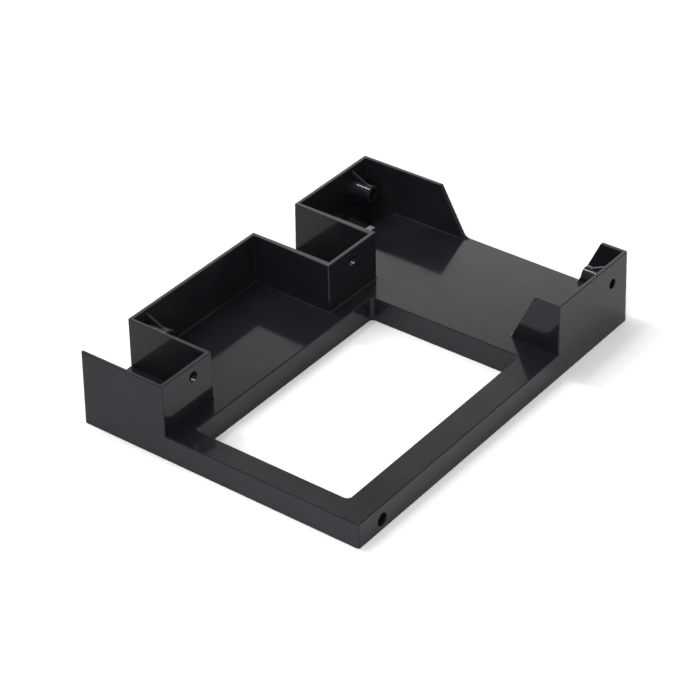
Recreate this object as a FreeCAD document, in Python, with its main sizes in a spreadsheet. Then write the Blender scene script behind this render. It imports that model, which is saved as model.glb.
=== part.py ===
"""Drive bay adapter bracket: a one-piece moulded cradle that carries a small drive in a larger bay.

Built in millimetres with X across the bay, Y from the connector end to the rear and Z up.
The body is modelled from its front left bottom corner and then placed with the middle of its
foot at the origin.
"""
import FreeCAD, Part
import os
import Sketcher

# Driving sizes, in millimetres and degrees
SIZES = {
    # Outside of the moulding
    "bay_width": 101.6,
    "body_height": 25.4,
    "frame_height": 8.3,
    "draft_angle": 1.0,
    "corner_radius": 0.8,
    # Seat of the drive
    "drive_width": 69.95,
    "drive_length": 100.6,
    "left_ledge": 5.1,
    "right_rail": 9.5,
    "front_rail": 8.0,
    "window_length": 85.1,
    "window_radius": 1.5,
    # Upright walls
    "outer_wall": 1.8,
    "front_wall": 1.6,
    "inner_wall": 1.45,
    "tray_wall_root": 1.5,
    "tray_wall_tip": 1.2,
    "cross_wall_root": 2.2,
    "cross_wall_tip": 1.4,
    "tower_wall": 1.6,
    "tray_front": 22.5,
    "notch_half_width": 10.0,
    # Sloped ends of the rear walls
    "left_slope_run": 9.1,
    "right_slope_run": 7.9,
    "left_toe_radius": 2.6,
    "right_toe_radius": 1.0,
    # Holes for the drive screws, from the front edge and down from the rim
    "drive_hole_first": 14.0,
    "drive_hole_pitch": 76.6,
    "drive_hole_drop": 4.0,
    "drive_hole_radius": 1.8,
    # Holes and bosses for the bay screws
    "bay_hole_first": 28.5,
    "bay_hole_pitch": 101.6,
    "bay_hole_to_rear": 9.1,
    "bay_hole_drop": 7.35,
    "bay_hole_radius": 1.7,
    "boss_radius": 2.9,
    "boss_length": 8.4,
    "web_stop": 1.3,
    "web_reach": 5.9,
    "side_reach": 3.9,
    "web_end": 2.4,
    "web_thickness": 1.0,
    # Hole low in the front of the right rail
    "rail_hole_along": 10.9,
    "rail_hole_rise": 3.5,
    "rail_hole_radius": 2.1,
    # Openings in the floor below the bosses
    "opening_inset": 1.3,
    "opening_width": 10.2,
    "tower_opening_half": 6.6,
    "tray_opening_half": 5.4,
    # Small bevels
    "corner_bevel": 0.3,
    "rim_bevel": 0.2,
    "floor_bevel": 0.3,
    "boss_bevel": 0.35,
    "frame_bevel": 0.25,
    # Hollow underside
    "floor_plate": 2.0,
    "skirt": 1.6,
    "rib": 1.4,
    "rib_rise": 0.8,
}

# Planes worked out from the driving sizes
PLANES = {
    "left_plane": "=0 * bay_width",
    "bay_hole_rear": "=bay_hole_first + bay_hole_pitch",
    "body_length": "=bay_hole_rear + bay_hole_to_rear",
    "inner_face": "=bay_width - drive_width",
    "inner_back": "=inner_face - inner_wall",
    "right_inner": "=bay_width - outer_wall",
    "rear_inner": "=body_length - outer_wall",
    "side_depth": "=body_height - frame_height",
    # Window
    "window_left": "=inner_face + left_ledge",
    "window_right": "=bay_width - right_rail",
    "window_rear": "=front_rail + window_length",
    # Notches and the walls beside them
    "second_hole": "=drive_hole_first + drive_hole_pitch",
    "notch_front": "=second_hole - notch_half_width",
    "notch_rear": "=second_hole + notch_half_width",
    "first_notch_root": "=tray_front - tray_wall_root",
    "first_notch_tip": "=tray_front - tray_wall_tip",
    "tray_rear_root": "=notch_front - cross_wall_root",
    "tray_rear_tip": "=notch_front - cross_wall_tip",
    "left_tower_front": "=notch_rear + cross_wall_root",
    "notch_rear_tip": "=left_tower_front - cross_wall_tip",
    "right_tower_inner": "=drive_length + tower_wall",
    # Slopes
    "left_toe": "=inner_face + left_slope_run",
    "right_toe": "=window_right - right_slope_run",
    # Planes just outside the moulding, where cuts begin and end
    "past_left": "=-outer_wall",
    "past_right": "=bay_width + outer_wall",
    "past_front": "=-outer_wall",
    "past_rear": "=body_length + outer_wall",
    "past_top": "=body_height + outer_wall",
    # Screws
    "drive_hole_height": "=body_height - drive_hole_drop",
    "bay_hole_height": "=body_height - bay_hole_drop",
    "web_top": "=bay_hole_height + web_reach",
    "web_bottom": "=bay_hole_height - web_reach",
    "end_top": "=bay_hole_height + web_end",
    "end_bottom": "=bay_hole_height - web_end",
    # Underside
    "hollow_depth": "=frame_height - floor_plate",
    "rib_height": "=hollow_depth - rib_rise",
    "skirt_left": "=window_left - skirt",
    "skirt_right": "=window_right + skirt",
    "skirt_front": "=front_rail - skirt",
    "skirt_rear": "=window_rear + skirt",
    "opening_left": "=outer_wall + opening_inset",
    "opening_right": "=opening_left + opening_width",
    "right_opening_right": "=bay_width - opening_left",
    "right_opening_left": "=bay_width - opening_right",
}

# Middle planes of the ribs: across the left side below each cross wall and below the tray,
# and along the rear floor below the inner wall and at the thirds of the window
RIBS = {
    "first_notch_rib": "tray_front - tray_wall_root / 2",
    "tray_rib": "(tray_front + notch_front) / 2",
    "tray_rear_rib": "notch_front - cross_wall_root / 2",
    "tower_front_rib": "notch_rear + cross_wall_root / 2",
    "inner_wall_rib": "inner_face - inner_wall / 2",
    "rear_left_rib": "window_left + (window_right - window_left) / 3",
    "rear_right_rib": "window_right - (window_right - window_left) / 3",
}
for rib_name, middle in RIBS.items():
    PLANES[rib_name + "_low"] = "=%s - rib / 2" % middle
    PLANES[rib_name + "_high"] = "=%s + rib / 2" % middle

# Bosses for the bay screws: place along the bracket, both ends of the opening below, side
BOSSES = {
    "tray_boss": ("bay_hole_first", "bay_hole_first - tray_opening_half", "bay_hole_first + tray_opening_half", False),
    "left_tower_boss": ("bay_hole_rear", "bay_hole_rear - tower_opening_half", "rear_inner", False),
    "right_tower_boss": ("bay_hole_rear", "bay_hole_rear - tower_opening_half", "rear_inner", True),
}
for boss_name, (along, front, rear, mirrored) in BOSSES.items():
    tip = "right_inner - boss_length" if mirrored else "outer_wall + boss_length"
    stop = "+ web_stop" if mirrored else "- web_stop"
    side = "right_opening" if mirrored else "opening"
    PLANES[boss_name + "_tip"] = "=" + tip
    PLANES[boss_name + "_web_tip"] = "=%s %s" % (tip, stop)
    PLANES[boss_name + "_web_rear"] = "=%s + side_reach" % along
    PLANES[boss_name + "_web_front"] = "=%s - side_reach" % along
    PLANES[boss_name + "_end_rear"] = "=%s + web_end" % along
    PLANES[boss_name + "_end_front"] = "=%s - web_end" % along
    PLANES[boss_name + "_opening_front"] = "=" + front
    PLANES[boss_name + "_opening_rear"] = "=" + rear
    PLANES[boss_name + "_well_left"] = "=%s_left - skirt" % side
    PLANES[boss_name + "_well_right"] = "=%s_right + skirt" % side
    PLANES[boss_name + "_well_front"] = "=%s - skirt" % front
    PLANES[boss_name + "_well_rear"] = "=%s + skirt / 2" % rear

doc = FreeCAD.newDocument("drive_bay_adapter")
sheet = doc.addObject("Spreadsheet::Sheet", "Sizes")
for row, (word, amount) in enumerate(list(SIZES.items()) + list(PLANES.items()), start=1):
    sheet.set("A%d" % row, word)
    sheet.set("B%d" % row, str(amount))
    sheet.setAlias("B%d" % row, word)
doc.recompute()

body = doc.addObject("PartDesign::Body", "bracket_body")
body.Label = "bracket_body"


def amount_of(word):
    """Present value of a named size or plane."""
    return float(sheet.get(word))


def cell(word):
    """Expression that reads a named size or plane."""
    return "Sizes." + word


def sketch_on(role, name, offset=None):
    """Starts a sketch on one of the body's origin planes, moved along its normal by an expression."""
    sketch = body.newObject("Sketcher::SketchObject", name)
    plane = [item for item in body.Origin.OriginFeatures if item.Role == role][0]
    sketch.AttachmentSupport = (plane, "")
    sketch.MapMode = "FlatFace"
    if offset:
        sketch.setExpression(".AttachmentOffset.Base.z", offset)
    return sketch


def tie(sketch, shape, point, across, along):
    """Holds a sketch point at two named distances from the sketch's origin."""
    for kind, word in (("DistanceX", across), ("DistanceY", along)):
        rule = Sketcher.Constraint(kind, -1, 1, shape, point, amount_of(word))
        number = sketch.addConstraint(rule)
        sketch.setExpression("Constraints[%d]" % number, cell(word))


def draw_loop(sketch, corners):
    """Draws a closed loop of straight edges through corners given as pairs of names."""
    points = [FreeCAD.Vector(amount_of(across), amount_of(along), 0) for across, along in corners]
    first = sketch.GeometryCount
    for start, end in zip(points, points[1:] + points[:1]):
        sketch.addGeometry(Part.LineSegment(start, end), False)
    for place, (across, along) in enumerate(corners):
        before = first + (place - 1) % len(corners)
        sketch.addConstraint(Sketcher.Constraint("Coincident", before, 2, first + place, 1))
        tie(sketch, first + place, 1, across, along)


def draw_box(sketch, left, right, front, rear):
    """Draws a rectangle between four named planes."""
    draw_loop(sketch, [(left, front), (right, front), (right, rear), (left, rear)])


def draw_circle(sketch, across, along, radius):
    """Draws a circle about a named centre with a named radius."""
    centre = FreeCAD.Vector(amount_of(across), amount_of(along), 0)
    circle = Part.Circle(centre, FreeCAD.Vector(0, 0, 1), amount_of(radius))
    shape = sketch.addGeometry(circle, False)
    tie(sketch, shape, 3, across, along)
    number = sketch.addConstraint(Sketcher.Constraint("Radius", shape, amount_of(radius)))
    sketch.setExpression("Constraints[%d]" % number, cell(radius))


def extrude(kind, sketch, name, length, reverse=False, middle=False):
    """Pads or pockets a sketch by an expression and checks that the solid grew or shrank."""
    before = body.Shape.Volume if body.Tip else 0.0
    feature = body.newObject("PartDesign::" + kind, name)
    feature.Profile = sketch
    feature.setExpression("Length", length)
    feature.Reversed = reverse
    feature.Midplane = middle
    doc.recompute()
    change = body.Shape.Volume - before
    if (kind == "Pad") != (change > 0):
        raise ValueError("%s %s changed the volume by %.3f" % (kind, name, change))
    return feature


def edges_where(shape, test):
    """Names of the edges whose two ends and direction pass a test."""
    names = []
    for number, edge in enumerate(shape.Edges, start=1):
        if len(edge.Vertexes) == 2 and test(edge.Vertexes[0].Point, edge.Vertexes[1].Point):
            names.append("Edge%d" % number)
    return names


def near(first, second):
    """True where two lengths are the same to a hundredth."""
    return abs(first - second) < 0.01


def dress(kind, name, amount, names):
    """Rounds or bevels the named edges of the shape so far."""
    if not names:
        raise ValueError("no edges found for " + name)
    base = body.Tip
    feature = body.newObject("PartDesign::" + kind, name)
    feature.Base = (base, names)
    feature.setExpression("Radius" if kind == "Fillet" else "Size", cell(amount))
    doc.recompute()


def round_edges(name, radius, test):
    """Rounds the edges that pass a test."""
    dress("Fillet", name, radius, edges_where(body.Tip.Shape, test))


def bevel_edges(name, size, test):
    """Bevels the edges that pass a test."""
    dress("Chamfer", name, size, edges_where(body.Tip.Shape, test))


def bevel_end(name, size, across, along):
    """Bevels the full circle at the end of a boss, found by its centre."""
    names = []
    for number, edge in enumerate(body.Tip.Shape.Edges, start=1):
        if len(edge.Vertexes) == 1 and edge.Curve.TypeId == "Part::GeomCircle":
            centre = edge.Curve.Center
            if near(centre.x, amount_of(across)) and near(centre.y, amount_of(along)):
                names.append("Edge%d" % number)
    dress("Chamfer", name, size, names)


def upright(start, end):
    """True for an edge that climbs the whole way up the block, with or without draft."""
    return abs(start.z - end.z) > 0.99 * amount_of("body_height")


def wall_corner(start, end):
    """True for an upright edge between the bevels at the foot and at the rim of a wall."""
    bevels = amount_of("floor_bevel") + amount_of("rim_bevel")
    climbs = abs(start.z - end.z) > amount_of("side_depth") - bevels - 0.01
    leans = max(abs(start.x - end.x), abs(start.y - end.y)) > amount_of("corner_radius") / 2
    return climbs and not leans and min(start.z, end.z) > amount_of("frame_height") - 0.01


def on_rim(start, end):
    """True for an edge of the rim."""
    return near(start.z, amount_of("body_height")) and near(end.z, amount_of("body_height"))


def within(point, left, right, front, rear):
    """True for a point between four named planes, or just outside them."""
    spare = amount_of("floor_bevel") + 0.01
    across = amount_of(left) - spare < point.x < amount_of(right) + spare
    along = amount_of(front) - spare < point.y < amount_of(rear) + spare
    return across and along


def inside(point):
    """True for a point away from the outer faces."""
    depth = amount_of("corner_radius") / 2
    across = depth < point.x < amount_of("bay_width") - depth
    return across and depth < point.y < amount_of("body_length") - depth


def at_floor(start, end):
    """True for an edge at the height of the floor."""
    return near(start.z, amount_of("frame_height")) and near(end.z, amount_of("frame_height"))


def on_floor(start, end):
    """True for an edge at the height of the floor and away from the outer faces."""
    return at_floor(start, end) and inside(start) and inside(end)


def frame_edge(start, end):
    """True for an outer edge of the frame's top, along the front, the right side and the notches."""
    outer = at_floor(start, end) and not inside(start) and not inside(end)
    ahead = max(start.y, end.y) < amount_of("right_tower_inner")
    return outer and ahead and start.distanceToPoint(end) > amount_of("corner_radius")


def around_window(start, end):
    """True for an edge of the window at the height of the floor."""
    planes = ("window_left", "window_right", "front_rail", "window_rear")
    return on_floor(start, end) and all(within(point, *planes) for point in (start, end))


def around_opening(start, end):
    """True for an edge of one of the openings below the bosses."""
    for name, (along, front, rear, mirrored) in BOSSES.items():
        side = "right_opening" if mirrored else "opening"
        planes = (side + "_left", side + "_right", name + "_opening_front", name + "_opening_rear")
        if all(within(point, *planes) for point in (start, end)):
            return True
    return False


def wall_foot(start, end):
    """True for an inside edge where a wall meets the floor."""
    return on_floor(start, end) and not around_window(start, end) and not around_opening(start, end)


# Outer block, narrower at the rim by the draft
block_sketch = sketch_on("XY_Plane", "block_sketch")
draw_box(block_sketch, "left_plane", "bay_width", "left_plane", "body_length")
block = extrude("Pad", block_sketch, "block", cell("body_height"))
sides = []
for number, face in enumerate(block.Shape.Faces, start=1):
    if abs(face.normalAt(0, 0).z) < 0.5:
        sides.append("Face%d" % number)
foot_plane = [item for item in body.Origin.OriginFeatures if item.Role == "XY_Plane"][0]
draft = body.newObject("PartDesign::Draft", "draft")
draft.Base = (block, sides)
draft.NeutralPlane = (foot_plane, [""])
draft.setExpression("Angle", cell("draft_angle"))
doc.recompute()
round_edges("outer_corners", "corner_radius", upright)

# Drive seat, tray and both towers, cleared in one run around the upright walls
seat_sketch = sketch_on("XY_Plane", "seat_sketch", cell("body_height"))
draw_loop(seat_sketch, [
    ("inner_face", "past_front"),
    ("past_right", "past_front"),
    ("past_right", "drive_length"),
    ("right_toe", "drive_length"),
    ("right_toe", "right_tower_inner"),
    ("right_inner", "right_tower_inner"),
    ("right_inner", "rear_inner"),
    ("right_toe", "rear_inner"),
    ("right_toe", "past_rear"),
    ("left_toe", "past_rear"),
    ("left_toe", "rear_inner"),
    ("outer_wall", "rear_inner"),
    ("outer_wall", "left_tower_front"),
    ("inner_face", "left_tower_front"),
    ("inner_face", "tray_rear_root"),
    ("outer_wall", "tray_rear_tip"),
    ("outer_wall", "tray_front"),
    ("inner_face", "tray_front"),
])
extrude("Pocket", seat_sketch, "seat", cell("side_depth"))

# Notches in the left side that let a screwdriver reach the drive screws
notch_sketch = sketch_on("XY_Plane", "notch_sketch", cell("body_height"))
draw_loop(notch_sketch, [
    ("past_left", "front_wall"),
    ("inner_back", "front_wall"),
    ("inner_back", "first_notch_root"),
    ("past_left", "first_notch_tip"),
])
draw_loop(notch_sketch, [
    ("past_left", "notch_front"),
    ("inner_back", "notch_front"),
    ("inner_back", "notch_rear"),
    ("past_left", "notch_rear_tip"),
])
extrude("Pocket", notch_sketch, "notches", cell("side_depth"))

# Sloped ends of the rear wall and of the right tower
LEFT_SLOPE = [
    ("inner_face", "body_height"),
    ("left_toe", "frame_height"),
    ("left_toe", "past_top"),
    ("inner_face", "past_top"),
]
RIGHT_SLOPE = [
    ("right_toe", "frame_height"),
    ("window_right", "body_height"),
    ("window_right", "past_top"),
    ("right_toe", "past_top"),
]
rear_slope_sketch = sketch_on("XZ_Plane", "rear_slope_sketch", "-" + cell("past_rear"))
draw_loop(rear_slope_sketch, LEFT_SLOPE)
draw_loop(rear_slope_sketch, RIGHT_SLOPE)
extrude("Pocket", rear_slope_sketch, "rear_slopes", "2 * " + cell("outer_wall"), reverse=True)
tower_slope_sketch = sketch_on("XZ_Plane", "tower_slope_sketch", "-" + cell("right_tower_inner"))
draw_loop(tower_slope_sketch, RIGHT_SLOPE)
extrude("Pocket", tower_slope_sketch, "tower_slope", cell("tower_wall"), reverse=True)

# Hollow underside, one ring around the window
hollow_sketch = sketch_on("XY_Plane", "hollow_sketch")
draw_box(hollow_sketch, "outer_wall", "right_inner", "front_wall", "rear_inner")
draw_box(hollow_sketch, "skirt_left", "skirt_right", "skirt_front", "skirt_rear")
extrude("Pocket", hollow_sketch, "hollow", cell("hollow_depth"), reverse=True)


def add_rib(name, left, right, front, rear):
    """Adds a rib below the floor, standing a little clear of the ground."""
    rib_sketch = sketch_on("XY_Plane", name + "_sketch", cell("rib_rise"))
    draw_box(rib_sketch, left, right, front, rear)
    extrude("Pad", rib_sketch, name, cell("rib_height"))


for rib_name in RIBS:
    low = rib_name + "_low"
    high = rib_name + "_high"
    if rib_name == "inner_wall_rib":
        add_rib(rib_name, low, high, "left_tower_front", "rear_inner")
    elif rib_name.startswith("rear"):
        add_rib(rib_name, low, high, "skirt_rear", "rear_inner")
    else:
        add_rib(rib_name, "outer_wall", "skirt_left", low, high)

# Window through the frame, with rounded corners
window_sketch = sketch_on("XY_Plane", "window_sketch")
draw_box(window_sketch, "window_left", "window_right", "front_rail", "window_rear")
extrude("Pocket", window_sketch, "window", cell("body_height"), reverse=True)


def window_corner(start, end):
    """True for the four upright edges of the window."""
    sides = (amount_of("window_left"), amount_of("window_right"))
    ends = (amount_of("front_rail"), amount_of("window_rear"))
    same_place = near(start.x, end.x) and near(start.y, end.y)
    on_side = any(near(start.x, side) for side in sides)
    return same_place and on_side and any(near(start.y, stop) for stop in ends)


round_edges("window_corners", "window_radius", window_corner)
bevel_edges("window_edges", "floor_bevel", around_window)


def toe_of(plane):
    """Test for the inside edge where a slope meets the floor."""
    def test(start, end):
        level = near(start.z, amount_of("frame_height")) and near(end.z, start.z)
        return level and near(start.x, amount_of(plane)) and near(end.x, start.x)
    return test


round_edges("left_toe_fillet", "left_toe_radius", toe_of("left_toe"))
round_edges("right_toe_fillets", "right_toe_radius", toe_of("right_toe"))


def add_boss(name, along, mirrored):
    """Adds a bay screw boss with crossed webs on a side wall, and the opening below it."""
    wall = "right_inner" if mirrored else "outer_wall"
    side = "right_opening" if mirrored else "opening"
    tip = name + "_web_tip"
    # Well that carries the opening through the hollow underside
    well_sketch = sketch_on("XY_Plane", name + "_well_sketch")
    draw_box(well_sketch, name + "_well_left", name + "_well_right", name + "_well_front", name + "_well_rear")
    extrude("Pad", well_sketch, name + "_well", cell("hollow_depth"))
    opening_sketch = sketch_on("XY_Plane", name + "_opening_sketch")
    draw_box(opening_sketch, side + "_left", side + "_right", name + "_opening_front", name + "_opening_rear")
    extrude("Pocket", opening_sketch, name + "_opening", cell("frame_height"), reverse=True)
    # Round boss standing out from the wall
    boss_sketch = sketch_on("YZ_Plane", name + "_sketch", cell(wall))
    draw_circle(boss_sketch, along, "bay_hole_height", "boss_radius")
    extrude("Pad", boss_sketch, name, cell("boss_length"), reverse=mirrored)
    bevel_end(name + "_bevel", "boss_bevel", name + "_tip", along)
    # Upright web and level web, both tapering to the end of the boss
    upright_sketch = sketch_on("XZ_Plane", name + "_upright_sketch", "-" + cell(along))
    draw_loop(upright_sketch, [(wall, "web_bottom"), (tip, "end_bottom"), (tip, "end_top"), (wall, "web_top")])
    extrude("Pad", upright_sketch, name + "_upright_web", cell("web_thickness"), middle=True)
    level_sketch = sketch_on("XY_Plane", name + "_level_sketch", cell("bay_hole_height"))
    corners = [(wall, "_web_front"), (tip, "_end_front"), (tip, "_end_rear"), (wall, "_web_rear")]
    draw_loop(level_sketch, [(across, name + end) for across, end in corners])
    extrude("Pad", level_sketch, name + "_level_web", cell("web_thickness"), middle=True)
    # Screw hole from outside the wall to the end of the boss
    start = cell("past_right") if mirrored else cell("past_left")
    bore_sketch = sketch_on("YZ_Plane", name + "_bore_sketch", start)
    draw_circle(bore_sketch, along, "bay_hole_height", "bay_hole_radius")
    reach = "3 * %s + %s" % (cell("outer_wall"), cell("boss_length"))
    extrude("Pocket", bore_sketch, name + "_bore", reach, reverse=not mirrored)


for boss_name, (along, front, rear, mirrored) in BOSSES.items():
    add_boss(boss_name, along, mirrored)

# Drive screw holes through the inner wall
drive_hole_sketch = sketch_on("YZ_Plane", "drive_hole_sketch", cell("inner_face"))
draw_circle(drive_hole_sketch, "drive_hole_first", "drive_hole_height", "drive_hole_radius")
draw_circle(drive_hole_sketch, "second_hole", "drive_hole_height", "drive_hole_radius")
extrude("Pocket", drive_hole_sketch, "drive_holes", "2 * " + cell("inner_wall"))

# Hole low in the right rail
rail_hole_sketch = sketch_on("YZ_Plane", "rail_hole_sketch", cell("bay_width"))
draw_circle(rail_hole_sketch, "rail_hole_along", "rail_hole_rise", "rail_hole_radius")
extrude("Pocket", rail_hole_sketch, "rail_hole", "2 * " + cell("outer_wall"))


# Small bevels on rims, feet and corners of the walls and the frame's outer edges
bevel_edges("rims", "rim_bevel", on_rim)
bevel_edges("wall_feet", "floor_bevel", wall_foot)
bevel_edges("wall_corners", "corner_bevel", wall_corner)
bevel_edges("frame_edges", "frame_bevel", frame_edge)

# Middle of the foot to the origin
body.setExpression("Placement.Base.x", "-" + cell("bay_width") + " / 2")
body.setExpression("Placement.Base.y", "-" + cell("body_length") + " / 2")
doc.recompute()

for item in doc.Objects:
    if "Invalid" in item.State or "Error" in item.State:
        raise ValueError("object failed: " + item.Name)
shape = body.Shape
if shape.isNull() or not shape.isValid() or len(shape.Solids) != 1:
    raise ValueError("bracket_body is not one valid solid")

os.makedirs("parts", exist_ok=True)
shape.exportStep("parts/%s.step" % body.Label)
box = shape.optimalBoundingBox(False)
print("bracket_body %.1f x %.1f x %.1f mm, volume %.0f mm3" % (box.XLength, box.YLength, box.ZLength, shape.Volume))
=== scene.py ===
"""Drive bay adapter bracket in glossy black moulded plastic, standing on a white table."""
import math
import bpy
from mathutils import Matrix, Vector

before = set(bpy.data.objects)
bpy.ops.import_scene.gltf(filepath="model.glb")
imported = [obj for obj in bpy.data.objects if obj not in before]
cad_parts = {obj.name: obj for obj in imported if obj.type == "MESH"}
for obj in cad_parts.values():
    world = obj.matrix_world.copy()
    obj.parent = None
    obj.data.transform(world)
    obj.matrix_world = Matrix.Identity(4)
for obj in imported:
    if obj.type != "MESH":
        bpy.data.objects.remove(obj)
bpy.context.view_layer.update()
bpy.context.scene.view_settings.view_transform = "Standard"

# Colours of the plastic: clean, and where dust or wear lies on it
CLEAN_BLACK = (0.0112, 0.0104, 0.0140, 1.0)
DUSTY_GREY = (0.09, 0.09, 0.10, 1.0)

# Patterns of the plastic: marks in a metre, octaves of detail and roughness of the detail
FLOW_WAVES = (55.0, 2.0, 0.5)
MOULD_GRAIN = (1400.0, 3.0, 0.6)
HAZE_CLOUDS = (90.0, 4.0, 0.6)
SMUDGE_PATCHES = (34.0, 3.0, 0.55)
DUSTY_PATCHES = (60.0, 1.0, 0.5)
FINE_STREAKS = (900.0, 2.0, 0.5)
SPECKS_PER_METRE = 420.0

# Where each pattern starts to show and where it shows in full
HAZE_EDGES = (0.35, 0.75)
SMUDGE_EDGES = (0.42, 0.68)
DUSTY_EDGES = (0.5, 0.62)
SPECK_EDGES = (0.07, 0.02)

# Streaks are drawn out along the bracket
STREAK_STRETCH = (1.0, 0.06, 1.0)

# Relief of the plastic, in metres, and how much of it the bump shows
WAVE_HEIGHT = 0.00006
GRAIN_HEIGHT = 0.0000012
BUMP_STRENGTH = 0.5

# Sheen of the plastic: a clear one that varies with haze, streaks and dust, and a wide one
PLASTIC_IOR = 1.5
CLEAR_ROUGHNESS = (0.07, 0.12)
STREAK_ROUGHNESS = 0.02
DUST_ROUGHNESS = 0.3
WIDE_ROUGHNESS = 0.42
WIDE_SHARE = 0.22
SMUDGE_SHARE = 0.18

# How much dust and smudges tint the black
DUST_TINT = 0.35
SMUDGE_TINT = 0.05

# Table: painted shade, a little dimmer on the left in reflections and bounced light, standing in
# for light that falls off to that side; white to the camera
TABLE_SIZE = 6.0
TABLE_DROP = 0.0001
TABLE_LEFT_SHADED = (0.53, 0.53, 0.563, 1.0)
TABLE_RIGHT_LIT = (0.83, 0.83, 0.87, 1.0)
TABLE_CHANGE = 0.16
TABLE_SEEN = (1.22, 1.22, 1.22, 1.0)

# Room: its strength as a light and as a dim reflection, and a glow that is seen in reflections
# only. The glow lies around one heading, rear and left, and fades from its low to its high edge.
ROOM_LIGHT = 0.57
ROOM_DIM = 0.23
ROOM_COLOUR = (1.0, 1.0, 1.0, 1.0)
GLOW_REAR = 0.79
GLOW_LEFT = 0.61
GLOW_SIDES = (0.35, 0.72)
GLOW_HEIGHTS = (0.53, 0.592)
GLOW_STRENGTHS = (1.5, 0.38)

# Lamps: name, place, size in metres and power in watts
LAMPS = (
    ("key", (-0.28, -0.05, 1.03), (0.38, 0.16), 1.8),
    ("glint", (-0.515, -0.05, 0.94), (0.08, 0.26), 2.2),
    ("fill", (0.25, -0.70, 0.55), (0.40, 0.40), 2.4),
)

# Camera, as fitted to the photograph: focal length in pixels of a picture 700 pixels wide,
# angles in degrees, and distances in metres from a point in the middle of the bracket
PICTURE_WIDTH = 700.0
FOCAL_PIXELS = 2477.8
FILM_WIDTH = 36.0
NEAREST = 0.01
FURTHEST = 20.0
HEADING = -37.738
DROP = 34.745
TILT = -1.235
MIDDLE = (0.0, 0.0, 0.010)
CAMERA_DISTANCE = 0.74856
CAMERA_ACROSS = -0.003672
CAMERA_UP = -0.002313


class Amount:
    """A number in a material, so that shader maths reads like plain arithmetic."""

    def __init__(self, finish, socket):
        self.finish = finish
        self.socket = socket

    def with_other(self, operation, first, second):
        """Adds one Math node that works on two numbers."""
        node = self.finish.add("ShaderNodeMath", {"operation": operation}, {0: first, 1: second})
        return Amount(self.finish, node.outputs[0])

    def __add__(self, other):
        return self.with_other("ADD", self, other)

    def __radd__(self, other):
        return self.with_other("ADD", other, self)

    def __sub__(self, other):
        return self.with_other("SUBTRACT", self, other)

    def __rsub__(self, other):
        return self.with_other("SUBTRACT", other, self)

    def __mul__(self, other):
        return self.with_other("MULTIPLY", self, other)

    def __rmul__(self, other):
        return self.with_other("MULTIPLY", other, self)


class Finish:
    """Builds the nodes of one material or of the world."""

    def __init__(self, tree):
        self.tree = tree
        tree.nodes.clear()

    def add(self, kind, settings=None, inputs=None):
        """Adds a node, sets its choices first and then fills or links its sockets."""
        node = self.tree.nodes.new(kind)
        for name, choice in (settings or {}).items():
            setattr(node, name, choice)
        for name, value in (inputs or {}).items():
            self.feed(node.inputs[name], value)
        return node

    def feed(self, socket, value):
        """Links a socket to another socket, or sets it to a plain value."""
        if isinstance(value, Amount):
            value = value.socket
        if isinstance(value, bpy.types.NodeSocket):
            self.tree.links.new(value, socket)
        else:
            socket.default_value = value

    def amount(self, kind, settings=None, inputs=None):
        """Adds a node and returns its first output as a number."""
        return Amount(self, self.add(kind, settings, inputs).outputs[0])

    def rays(self):
        """Returns three numbers: 1 for a camera, a glossy and a transmission ray, else 0."""
        outputs = self.add("ShaderNodeLightPath").outputs
        kinds = ("Is Camera Ray", "Is Glossy Ray", "Is Transmission Ray")
        return [Amount(self, outputs[kind]) for kind in kinds]

    def parts(self, vector):
        """Splits a place or direction into its three numbers."""
        outputs = self.add("ShaderNodeSeparateXYZ", {}, {0: vector}).outputs
        return [Amount(self, outputs[axis]) for axis in "XYZ"]

    def place(self, stretch=(1.0, 1.0, 1.0)):
        """Object coordinates in metres, stretched along each axis."""
        where = self.add("ShaderNodeTexCoord").outputs["Object"]
        return self.add("ShaderNodeMapping", {}, {"Vector": where, "Scale": stretch}).outputs[0]

    def noise(self, where, scale, detail, roughness):
        """Soft random pattern between 0 and 1."""
        inputs = {"Vector": where, "Scale": scale, "Detail": detail, "Roughness": roughness}
        return self.amount("ShaderNodeTexNoise", {"noise_dimensions": "3D"}, inputs)

    def between(self, value, low, high, out_low=0.0, out_high=1.0):
        """Maps a range of values smoothly onto another range."""
        return self.amount("ShaderNodeMapRange", {"interpolation_type": "SMOOTHSTEP"}, {
            "Value": value,
            "From Min": low,
            "From Max": high,
            "To Min": out_low,
            "To Max": out_high,
        })

    def mix(self, share, first, second):
        """Mixes two colours."""
        inputs = {0: share, 6: first, 7: second}
        return self.add("ShaderNodeMix", {"data_type": "RGBA"}, inputs).outputs[2]

    def end(self, shader, kind="ShaderNodeOutputMaterial"):
        """Links the finished shader to the output."""
        self.add(kind, {}, {"Surface": shader})


def new_finish(name):
    """Makes an empty material and the finish that builds it."""
    material = bpy.data.materials.new(name)
    material.use_nodes = True
    return material, Finish(material.node_tree)


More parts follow.
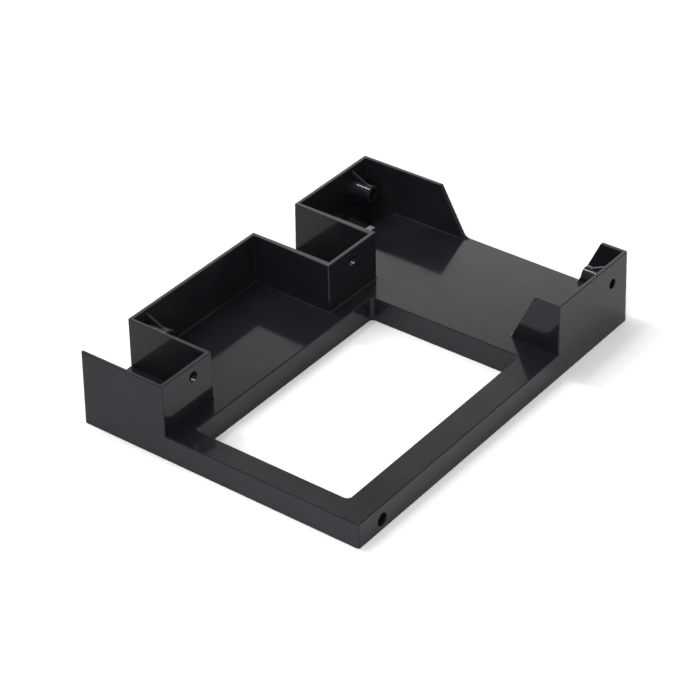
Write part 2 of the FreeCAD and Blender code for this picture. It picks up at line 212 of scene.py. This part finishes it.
def gloss_black():
    """Glossy black plastic: a clear sheen over a wide one, with flow marks, smudges and dust."""
    material, finish = new_finish("gloss_black_plastic")
    where = finish.place()
    waves = finish.noise(where, *FLOW_WAVES)
    grain = finish.noise(where, *MOULD_GRAIN)
    haze = finish.noise(where, *HAZE_CLOUDS)
    smudges = finish.between(finish.noise(where, *SMUDGE_PATCHES), *SMUDGE_EDGES)
    streaks = finish.noise(finish.place(STREAK_STRETCH), *FINE_STREAKS)

    # Specks of dust lie only in some patches
    inputs = {"Vector": where, "Scale": SPECKS_PER_METRE}
    from_speck = finish.amount("ShaderNodeTexVoronoi", {"feature": "F1"}, inputs)
    dusty = finish.between(finish.noise(where, *DUSTY_PATCHES), *DUSTY_EDGES)
    dust = finish.between(from_speck, *SPECK_EDGES) * dusty

    tint = dust * DUST_TINT + smudges * SMUDGE_TINT
    colour = finish.mix(tint, CLEAN_BLACK, DUSTY_GREY)
    height = waves * WAVE_HEIGHT + grain * GRAIN_HEIGHT
    inputs = {"Strength": BUMP_STRENGTH, "Distance": 1.0, "Height": height}
    bump = finish.add("ShaderNodeBump", {}, inputs).outputs[0]

    def sheen(roughness):
        """One sheen of the plastic."""
        return finish.add("ShaderNodeBsdfPrincipled", {}, {
            "Base Color": colour,
            "Roughness": roughness,
            "Normal": bump,
            "IOR": PLASTIC_IOR,
        }).outputs[0]

    hazy = finish.between(haze, *HAZE_EDGES, *CLEAR_ROUGHNESS)
    clear = sheen(hazy + streaks * STREAK_ROUGHNESS + dust * DUST_ROUGHNESS)
    wide = sheen(WIDE_ROUGHNESS)
    share = smudges * SMUDGE_SHARE + WIDE_SHARE
    finish.end(finish.add("ShaderNodeMixShader", {}, {0: share, 1: clear, 2: wide}).outputs[0])
    return material


def white_table():
    """White table that shows pure white to the camera where no shadow falls; to reflections and
    bounced light its colour carries painted shade, dimmer on the left.
    """
    material, finish = new_finish("white_table")
    camera, _, transmission = finish.rays()
    across = finish.parts(finish.add("ShaderNodeTexCoord").outputs["Object"])[0]
    # Painted shade: the table's colour darkens towards the left, in place of light falling off
    # there
    to_right = finish.between(across, -TABLE_CHANGE, TABLE_CHANGE)
    painted_falloff = finish.mix(to_right, TABLE_LEFT_SHADED, TABLE_RIGHT_LIT)
    colour = finish.mix(camera + transmission, painted_falloff, TABLE_SEEN)
    finish.end(finish.add("ShaderNodeBsdfDiffuse", {}, {"Color": colour}).outputs[0])
    return material


def studio_world():
    """Plain room: an even light, and in reflections a dim room with a glow behind the bracket."""
    world = bpy.data.worlds.new("studio")
    bpy.context.scene.world = world
    world.use_nodes = True
    finish = Finish(world.node_tree)
    camera, glossy, transmission = finish.rays()
    seen = camera + glossy + transmission
    across, along, up = finish.parts(finish.add("ShaderNodeTexCoord").outputs["Generated"])
    towards_glow = along * GLOW_REAR - across * GLOW_LEFT
    facing = finish.between(towards_glow, *GLOW_SIDES)
    glow = finish.between(up, *GLOW_HEIGHTS, *GLOW_STRENGTHS)
    room = facing * (glow - ROOM_DIM) + ROOM_DIM
    strength = seen * (room - ROOM_LIGHT) + ROOM_LIGHT
    inputs = {"Color": ROOM_COLOUR, "Strength": strength}
    shader = finish.add("ShaderNodeBackground", {}, inputs).outputs[0]
    finish.end(shader, "ShaderNodeOutputWorld")


def add_lamp(name, place, size, power):
    """Adds an oblong soft lamp that faces the middle of the bracket's foot."""
    lamp = bpy.data.lights.new(name, "AREA")
    lamp.shape = "RECTANGLE"
    lamp.size, lamp.size_y = size
    lamp.energy = power
    light = bpy.data.objects.new(name, lamp)
    bpy.context.scene.collection.objects.link(light)
    turn = (-Vector(place)).to_track_quat("-Z", "Y").to_matrix().to_4x4()
    light.matrix_world = Matrix.Translation(place) @ turn


def add_camera():
    """Long lens from above the front right corner, turned and placed as the photograph's view."""
    data = bpy.data.cameras.new("view")
    data.sensor_width = FILM_WIDTH
    data.lens = FILM_WIDTH * FOCAL_PIXELS / PICTURE_WIDTH
    data.clip_start = NEAREST
    data.clip_end = FURTHEST
    camera = bpy.data.objects.new("view", data)
    bpy.context.scene.collection.objects.link(camera)
    heading, drop, tilt = [math.radians(angle) for angle in (HEADING, DROP, TILT)]
    level = math.cos(drop)
    forward = Vector((math.sin(heading) * level, math.cos(heading) * level, -math.sin(drop)))
    right = forward.cross(Vector((0, 0, 1))).normalized()
    above = right.cross(forward)
    across = right * math.cos(tilt) + above * math.sin(tilt)
    upward = above * math.cos(tilt) - right * math.sin(tilt)
    place = Vector(MIDDLE) - forward * CAMERA_DISTANCE
    place = place + across * CAMERA_ACROSS + upward * CAMERA_UP
    turn = Matrix((across, upward, -forward)).transposed().to_4x4()
    camera.matrix_world = Matrix.Translation(place) @ turn
    bpy.context.scene.camera = camera


# The one moulded piece keeps its solid and gets its finish
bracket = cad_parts["bracket_body"]
bracket.data.materials.clear()
bracket.data.materials.append(gloss_black())

# The table lies a hair below the bracket's foot, so that no two faces share a plane
bpy.ops.object.select_all(action="DESELECT")
bpy.ops.mesh.primitive_plane_add(size=TABLE_SIZE, location=(0.0, 0.0, -TABLE_DROP))
table = bpy.context.object
table.name = "table"
table.data.materials.append(white_table())

studio_world()
for lamp_row in LAMPS:
    add_lamp(*lamp_row)
add_camera()
